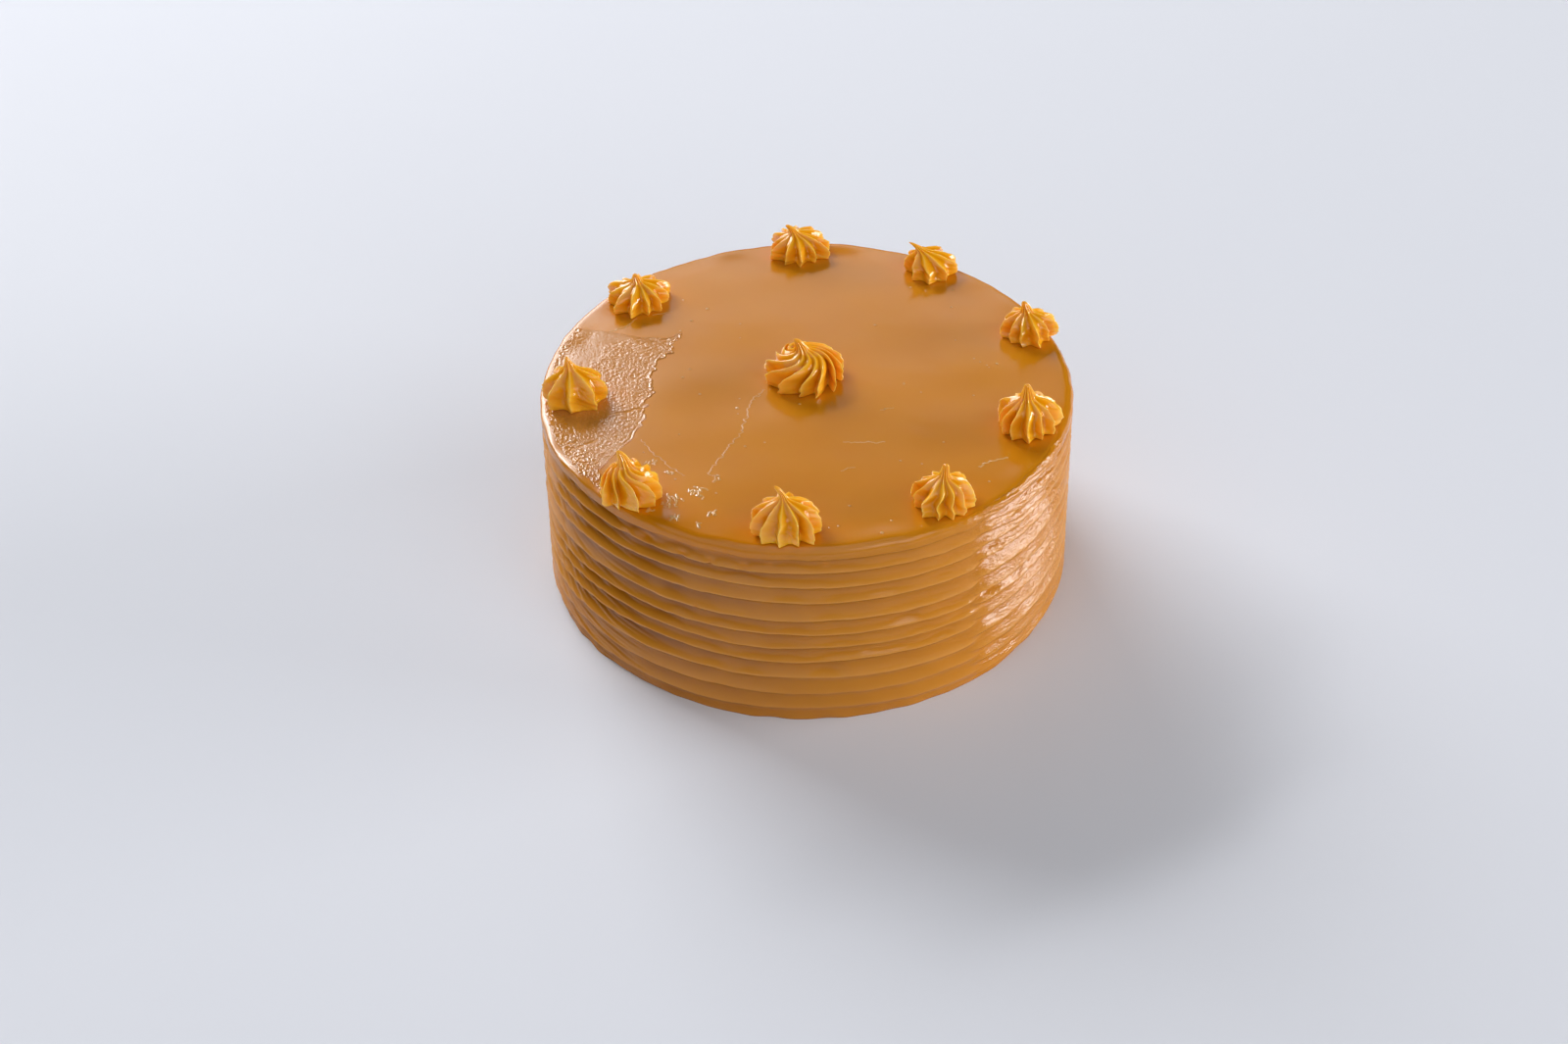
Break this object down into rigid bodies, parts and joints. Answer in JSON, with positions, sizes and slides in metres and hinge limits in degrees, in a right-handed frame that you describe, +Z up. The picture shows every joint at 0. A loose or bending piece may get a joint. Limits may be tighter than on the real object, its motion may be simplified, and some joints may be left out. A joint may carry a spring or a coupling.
{
  "type": "caramel-iced cake",
  "caption": "Round cake covered in glossy caramel icing, with a smooth top, a side combed into level ridges and star-piped rosettes of the same icing near the edge and in the middle.",
  "frame": {"origin": "centre of the flat foot, on the surface that the cake stands on", "axes": "+Z up through the middle of the cake; -Y is the front, towards the picture's camera; +X is the picture's right"},
  "size_m": [0.2016, 0.2049, 0.0995],
  "materials": {
    "cake_icing": "glossy soft caramel icing, spread smooth and combed",
    "rosette_icing": "glossy soft caramel icing, piped"
  },
  "bodies": {
    "root": {"cake": "cake_icing", "rosette_1": "rosette_icing", "rosette_2": "rosette_icing", "rosette_3": "rosette_icing", "rosette_4": "rosette_icing", "rosette_5": "rosette_icing", "rosette_6": "rosette_icing", "rosette_7": "rosette_icing", "rosette_8": "rosette_icing", "rosette_9": "rosette_icing", "rosette_centre": "rosette_icing"}
  },
  "joints": []
}
